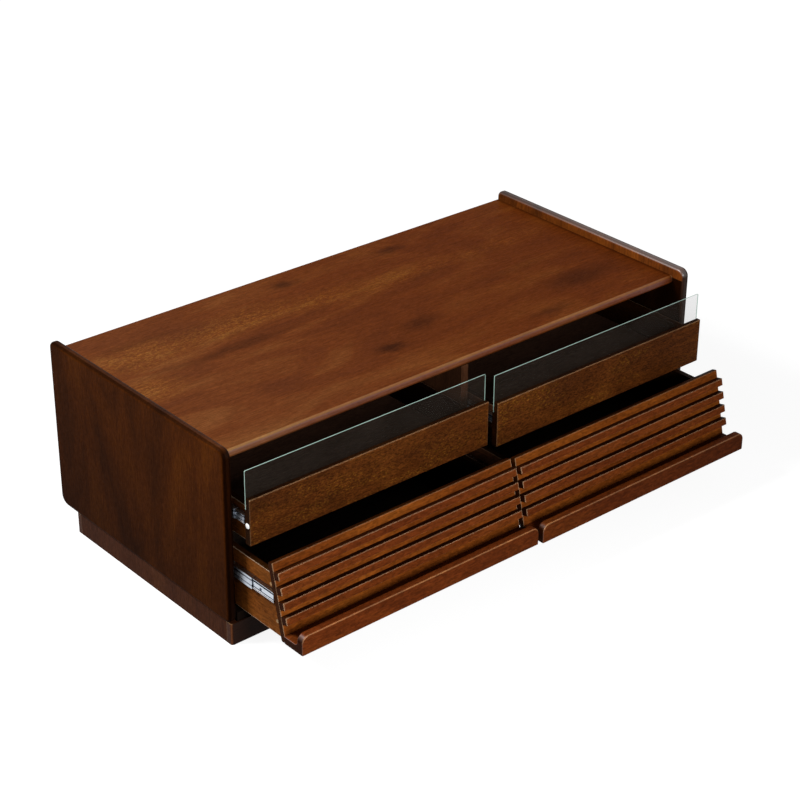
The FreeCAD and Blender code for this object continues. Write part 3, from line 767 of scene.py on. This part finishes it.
outer_side_wood = {
    end: stained_wood(
        f"outer_{end}_side_wood", "Y", BOX_TONES, BOX_ARRIS[end], fleck=0.6,
        shade=shaded_towards(inward), side=(-inward, 0, 0), lowest=-1.0)
    for end, inward in SIDE_BOARDS}
inner_side_wood = {
    end: stained_wood(
        f"inner_{end}_side_wood", "Y", DARK_BOX_TONES, DARK_ARRIS, fleck=0.6,
        shade=shaded_towards(inward), side=(-inward, 0, 0))
    for end, inward in SIDE_BOARDS}
inside_shade_wood = {
    level: stained_wood(f"{level}_box_inside_shade_wood", "X", BOX_INSIDE_SHADE_TONES[level], BOX_INSIDE_SHADE_ARRIS, fleck=0.4)
    for level in LEVELS}
for side in SIDES:
    for level in LEVELS:
        drawer = f"{level}_{side}"
        for end in SIDES:
            boards = outer_side_wood if end == side else inner_side_wood
            dress(boards[end], f"{drawer}_side_{end}")
        dress(inside_shade_wood[level], f"{drawer}_back", f"{drawer}_bottom")
        soften(BOX_EDGE, *[f"{drawer}_{board}" for board in PLAIN_BOARDS])
    dress(inside_shade_wood["lower"], f"lower_{side}_box_front")
    soften(BOX_EDGE, f"lower_{side}_box_front")
print("drawer boxes dressed")

# %% [markdown]
# Slides are bright zinc-plated steel: a metal shader with fine lines along the rail. The middle rail
# has a ball track in its upper half and a pressed line in its lower half, drawn as dark bands of painted
# shade. They could be cut into the mesh; at this size bands of colour across the height of the rail look
# the same. The tops of the rails are dark brown as a painted reflection of the wood, with a row of bright
# dots.

# %% Slide steel
FLANGE = 0.0012
TRACK = (0.52, 0.90)
LINE = (-0.68, -0.44)
BALL_PITCH = 0.0055
PLATE_TONES = ((0.40, 0.44, 0.50), (0.60, 0.64, 0.70))
PLATE_ROUGH = 0.30
PLATE_LINES = (900.0, 12.0)
# Painted shade of the ball track and the pressed line.
BAND_TONE = (0.07, 0.08, 0.11, 1.0)
# Painted reflection of the dark wood on the tops of the rails.
RAIL_TOP_REFLECTION = (0.20, 0.14, 0.10, 1.0)


def inner_half(level):
    """Middle height and inner half height of the inner rails of a level."""
    low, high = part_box(f"{level}_left_inner_rails")
    return (low[2] + high[2]) / 2, (high[2] - low[2]) / 2 - FLANGE


def metal(name, dark, light, rough, space_scale):
    """Metal with fine lines along Y; gives the material, its tree, the shader and the colour."""
    material, tree, shader = new_finish(name)
    coords = add_node(tree, "ShaderNodeTexCoord")
    lines = grain_noise(tree, coords.outputs["Object"], "Y", *space_scale)
    colour = ramp(tree, lines, (0.3, dark), (0.7, light))
    tree.links.new(colour, shader.inputs["Base Color"])
    tree.links.new(ramp(tree, lines, (0.3, rough + 0.08), (0.7, rough - 0.06)), shader.inputs["Roughness"])
    bump = add_node(tree, "ShaderNodeBump", {"Height": lines, "Strength": 0.15, "Distance": 0.0002})
    tree.links.new(bump.outputs[0], shader.inputs["Normal"])
    shader.inputs["Metallic"].default_value = 1.0
    return material, tree, shader, colour


def banded_steel(level):
    """Zinc plate with painted shade for the ball track and the pressed line of a middle rail, and a painted
    reflection on the tops of the rails.
    """
    material, tree, shader, colour = metal(
        f"{level}_rail_steel", *PLATE_TONES, PLATE_ROUGH, PLATE_LINES)
    middle, half = inner_half(level)
    coords = add_node(tree, "ShaderNodeTexCoord")
    place = add_node(tree, "ShaderNodeSeparateXYZ", {"Vector": coords.outputs["Object"]})
    rise = step(tree, "DIVIDE", step(tree, "SUBTRACT", place.outputs[2], middle), half)
    for low, high in (TRACK, LINE):
        band = step(tree, "COMPARE", rise, (low + high) / 2, (high - low) / 2)
        colour = blend(tree, "MIX", step(tree, "MULTIPLY", band, 0.9), colour, BAND_TONE)
    along = step(tree, "FRACT", step(tree, "DIVIDE", place.outputs[1], BALL_PITCH))
    dots = step(tree, "MULTIPLY", step(tree, "COMPARE", along, 0.5, 0.22), 0.2)
    # Painted reflection on the tops of the rails, with bright dots.
    rail_top_reflection = blend(tree, "MIX", dots, RAIL_TOP_REFLECTION, colour)
    face = add_node(tree, "ShaderNodeNewGeometry")
    upward = vector_step(tree, "DOT_PRODUCT", face.outputs["Normal"], (0, 0, 1))
    colour = blend(tree, "MIX", step(tree, "GREATER_THAN", upward, 0.7), colour, rail_top_reflection)
    tree.links.new(colour, shader.inputs["Base Color"])
    return material


plate_steel = metal("cage_plate_steel", *PLATE_TONES, PLATE_ROUGH, PLATE_LINES)[0]
track_steel = metal("ball_track_steel", (0.05, 0.06, 0.08), (0.09, 0.10, 0.13), 0.40, (700.0, 40.0))[0]
ball_steel = metal("ball_steel", (0.34, 0.36, 0.40), (0.52, 0.54, 0.58), 0.24, (420.0, 420.0))[0]
for level in LEVELS:
    steel = banded_steel(level)
    dress(steel, f"{level}_outer_rails")
    for side in SIDES:
        dress(steel, f"{level}_{side}_inner_rails", f"{level}_{side}_middle_rails")
print("slides dressed")

# %% [markdown]
# Balls, screw heads and caps are all round things that look at the wall. A lathe makes them from a
# profile, and so does this helper: it turns a few points round an axis along X. Blender has a screw
# modifier for this; building the rings directly lets many small pieces share one mesh.

# %% Turned pieces
def finish_mesh(work, name, *materials):
    """Turn mesh work into an object with its materials."""
    mesh = bpy.data.meshes.new(name)
    work.to_mesh(mesh)
    work.free()
    for material in materials:
        mesh.materials.append(material)
    piece = bpy.data.objects.new(name, mesh)
    bpy.context.scene.collection.objects.link(piece)
    return piece


def add_turned(work, seat, outward, radius, height, profile, segments, material=0):
    """Profile turned round X: its points are shares of the radius and of the height above the seat."""
    x, y, z = seat
    tip = work.verts.new((x + outward * height * profile[0][1], y, z))
    rings = []
    for across, rise in profile[1:]:
        ring = []
        for index in range(segments):
            angle = 2 * math.pi * index / segments
            ring.append(work.verts.new((
                x + outward * height * rise,
                y + across * radius * math.cos(angle),
                z + across * radius * math.sin(angle))))
        rings.append(ring)
    for index in range(segments):
        after = (index + 1) % segments
        made = [work.faces.new((tip, rings[0][index], rings[0][after]))]
        for inner, outer in zip(rings, rings[1:]):
            made.append(work.faces.new((inner[index], outer[index], outer[after], inner[after])))
        for face in made:
            face.smooth = True
            face.material_index = material
    return rings[-1]


print("lathe ready")

# %% [markdown]
# Inside each inner rail lies a ball cage: a long folded strip with a track where steel balls sit,
# held with flat dark screws. They are small, but they are what makes a slide read as a slide when a
# drawer is open. The strip is a folded outline drawn out along the rail; it could be a bevelled curve,
# but a mesh gives the track its own finish. All of them ride on the drawer.

# %% Ball cages and screws
CAGE_END = 0.0015
CAGE_FACE = 0.0009
CAGE_BACK = 0.0046
TRACK_DEPTH = 0.0036
LINE_DEPTH = 0.0020
BALL_SHARE = 0.6
BALL_PROFILE = ((0.0, 1.0), (0.5, 0.87), (0.87, 0.5), (1.0, 0.0))
SCREW_PROFILE = ((0.0, 0.15), (0.35, 0.15), (0.45, 0.85), (0.7, 1.0), (0.95, 0.7), (1.0, 0.0))
SCREW_RADIUS = 0.0030
SCREW_RISE = 0.0007
SCREW_PLACES = (0.039, 0.18, 0.36)
SCREW_DROP = 0.16
CAGE_SHARE = 0.97
BALL_SEGMENTS = 8
SCREW_SEGMENTS = 18


def cage_outline(half):
    """Folded outline of a cage: depth from the open side of the rail, rise and whether it is the track."""
    return [
        (CAGE_FACE, CAGE_SHARE * half, 0), (CAGE_FACE, TRACK[1] * half, 1),
        (TRACK_DEPTH, TRACK[1] * half, 1), (TRACK_DEPTH, TRACK[0] * half, 1),
        (CAGE_FACE, TRACK[0] * half, 0), (CAGE_FACE, LINE[1] * half, 1),
        (LINE_DEPTH, LINE[1] * half, 1), (LINE_DEPTH, LINE[0] * half, 1),
        (CAGE_FACE, LINE[0] * half, 0), (CAGE_FACE, -CAGE_SHARE * half, 0),
        (CAGE_BACK, -CAGE_SHARE * half, 0), (CAGE_BACK, CAGE_SHARE * half, 0)]


def add_cage(work, opening, inward, start, end, middle, half):
    """Folded strip with its balls in an inner rail; the opening is the side of the rail at the wall."""
    outline = cage_outline(half)
    ends = [[work.verts.new((opening + inward * depth, y, middle + rise)) for depth, rise, _ in outline]
            for y in (start, end)]
    for index, (_, _, track) in enumerate(outline):
        after = (index + 1) % len(outline)
        face = work.faces.new((ends[0][index], ends[0][after], ends[1][after], ends[1][index]))
        face.material_index = track
    for loop in ends:
        work.faces.new(loop)
    ball = (TRACK[1] - TRACK[0]) / 2 * half * BALL_SHARE
    level = middle + (TRACK[0] + TRACK[1]) / 2 * half
    for index in range(int((end - start) / BALL_PITCH)):
        seat = (opening + inward * TRACK_DEPTH, start + (index + 0.5) * BALL_PITCH, level)
        add_turned(work, seat, -inward, ball, ball, BALL_PROFILE, BALL_SEGMENTS, 2)


def rail_hardware(drawer, level):
    """Ball cages and screws of the two inner rails of a drawer."""
    low, high = (Vector(corner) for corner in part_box(f"{drawer}_inner_rails"))
    middle, half = inner_half(level)
    cages = bmesh.new()
    screws = bmesh.new()
    for opening, inward in ((low.x, 1), (high.x, -1)):
        add_cage(cages, opening, inward, low.y + CAGE_END, high.y - CAGE_END, middle, half)
        for place in SCREW_PLACES:
            seat = (opening + inward * CAGE_FACE, low.y + place, middle - half * SCREW_DROP)
            add_turned(screws, seat, -inward, SCREW_RADIUS, SCREW_RISE, SCREW_PROFILE, SCREW_SEGMENTS)
    for name, work in (("ball_cages", cages), ("rail_screws", screws)):
        bmesh.ops.recalc_face_normals(work, faces=work.faces[:])
        finishes = (plate_steel, track_steel, ball_steel) if work is cages else (track_steel,)
        piece = finish_mesh(work, f"{drawer}_{name}", *finishes)
        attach(piece, f"{drawer}_drawer")


for side in SIDES:
    for level in LEVELS:
        rail_hardware(f"{level}_{side}", level)
print("ball cages and screws on four drawers")

# %% [markdown]
# The glass panes are clear, but their polished edges catch light inside the sheet and look mint, so a
# pane needs two finishes. Glass that bends light would be truer, but a thin sheet that lets nearly
# all light through gives the same look with far less noise.

# %% Glass finishes
GLASS_ALPHA = 0.12
GLASS_SHINE = 0.1
# Painted glow of the light caught in the sheet.
EDGE_GLOW = 0.14


def drift_noise(tree, scale, detail):
    """Plain noise over a piece, with so many features per metre."""
    coords = add_node(tree, "ShaderNodeTexCoord")
    noise = add_node(tree, "ShaderNodeTexNoise", {
        "Vector": coords.outputs["Object"], "Scale": scale, "Detail": detail})
    return noise.outputs[0]


def clear_glass():
    """Clear float glass: a thin see-through sheet with the faintest smears."""
    material, tree, shader = new_finish("clear_glass")
    smear = drift_noise(tree, 14.0, 4.0)
    tree.links.new(ramp(tree, smear, (0.4, 0.22), (0.8, 0.34)), shader.inputs["Roughness"])
    film = ramp(tree, smear, (0.3, (0.044, 0.032, 0.024)), (0.7, (0.066, 0.049, 0.038)))
    tree.links.new(film, shader.inputs["Base Color"])
    shader.inputs["Alpha"].default_value = GLASS_ALPHA
    shader.inputs["Specular IOR Level"].default_value = GLASS_SHINE
    return material


def glass_edge():
    """Polished glass edge with a painted glow for the light caught in the sheet."""
    material, tree, shader = new_finish("glass_edge")
    drift = drift_noise(tree, 40.0, 2.0)
    colour = ramp(tree, drift, (0.3, (0.20, 0.32, 0.27)), (0.7, (0.31, 0.44, 0.38)))
    tree.links.new(colour, shader.inputs["Base Color"])
    tree.links.new(colour, shader.inputs["Emission Color"])
    tree.links.new(ramp(tree, drift, (0.3, 0.10), (0.7, 0.22)), shader.inputs["Roughness"])
    shader.inputs["Emission Strength"].default_value = EDGE_GLOW
    return material


pane_glass = clear_glass()
edge_glass = glass_edge()
print("clear glass and polished edge ready")

# %% [markdown]
# A pane is a flat sheet with small chamfers and two rounded upper corners. The plain solid has square
# edges and one finish, so a mesh takes its place: an outline drawn out to the thickness of the sheet,
# with its rims bevelled and the edge faces given the mint finish.

# %% Glass panes
PANE_CHAMFER = 0.0016
PANE_CORNER = 0.002
CORNER_STEPS = 5


def pane_outline(width, height):
    """Outline of a pane round its middle, with the two upper corners rounded."""
    points = [(-width / 2, -height / 2), (width / 2, -height / 2)]
    for side, first in ((1, 0.0), (-1, math.pi / 2)):
        for index in range(CORNER_STEPS + 1):
            angle = first + math.pi / 2 * index / CORNER_STEPS
            points.append((
                side * (width / 2 - PANE_CORNER) + PANE_CORNER * math.cos(angle),
                height / 2 - PANE_CORNER + PANE_CORNER * math.sin(angle)))
    return points


def add_pane(drawer):
    """Pane with chamfered polished edges in the place of the drawer's glass solid."""
    low, high = (Vector(corner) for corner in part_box(f"{drawer}_glass"))
    size = high - low
    middle = (low + high) / 2
    work = bmesh.new()
    outline = pane_outline(size.x, size.z)
    front = [work.verts.new((middle.x + x, low.y, middle.z + z)) for x, z in outline]
    back = [work.verts.new((middle.x + x, high.y, middle.z + z)) for x, z in outline]
    work.faces.new(front)
    work.faces.new(back[::-1])
    for index in range(len(outline)):
        after = (index + 1) % len(outline)
        work.faces.new((front[after], front[index], back[index], back[after]))
    bmesh.ops.recalc_face_normals(work, faces=work.faces[:])
    rims = [edge for edge in work.edges if abs(edge.verts[0].co.y - edge.verts[1].co.y) < 1e-6]
    bmesh.ops.bevel(work, geom=rims, offset=PANE_CHAMFER, segments=1, affect="EDGES")
    for face in work.faces:
        face.material_index = 0 if abs(face.normal.y) > 0.3 else 1
    pane = finish_mesh(work, f"{drawer}_pane", pane_glass, edge_glass)
    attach(pane, f"{drawer}_drawer")
    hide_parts(f"{drawer}_glass")


for side in SIDES:
    add_pane(f"upper_{side}")
print("two panes")

# %% [markdown]
# Two small things finish the drawers: a white domed cap on the outer end of each upper front, and
# the pale ends of the dowels in the lower boxes. The cap is a profile turned round its axis, as on a
# lathe; a squashed ball would have no flat rim to sit on the wood. The dowels only get a finish.

# %% Caps and dowel ends
CAP_PROFILE = ((0.0, 1.0), (0.35, 0.98), (0.65, 0.90), (0.86, 0.70), (0.97, 0.40), (1.0, 0.0))
CAP_SEGMENTS = 36
DOWEL_TONES = ((0.24, 0.14, 0.06), (0.33, 0.20, 0.10), (0.42, 0.27, 0.14))


def white_plastic():
    """Slightly mottled white plastic."""
    material, tree, shader = new_finish("white_plastic")
    mottle = drift_noise(tree, 900.0, 3.0)
    colour = ramp(tree, mottle, (0.3, (0.84, 0.84, 0.82)), (0.7, (0.92, 0.92, 0.91)))
    tree.links.new(colour, shader.inputs["Base Color"])
    tree.links.new(ramp(tree, mottle, (0.3, 0.45), (0.7, 0.3)), shader.inputs["Roughness"])
    return material


def add_cap(drawer, outward):
    """Domed cap on the outer end of an upper front."""
    low, high = (Vector(corner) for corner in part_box(f"{drawer}_cap"))
    middle = (low + high) / 2
    radius = (high.y - low.y) / 2
    seat = high.x if outward < 0 else low.x
    work = bmesh.new()
    rim = add_turned(
        work, (seat, middle.y, middle.z), outward, radius, high.x - low.x, CAP_PROFILE, CAP_SEGMENTS)
    work.faces.new(rim)
    bmesh.ops.recalc_face_normals(work, faces=work.faces[:])
    cap = finish_mesh(work, f"{drawer}_domed_cap", cap_white)
    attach(cap, f"{drawer}_drawer")
    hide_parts(f"{drawer}_cap")


cap_white = white_plastic()
dowel_wood = stained_wood("dowel_end_grain", "X", DOWEL_TONES, DOWEL_TONES[-1])
add_cap("upper_left", -1)
add_cap("upper_right", 1)
for side in SIDES:
    dress(dowel_wood, f"lower_{side}_dowels")
print("caps and dowel ends")
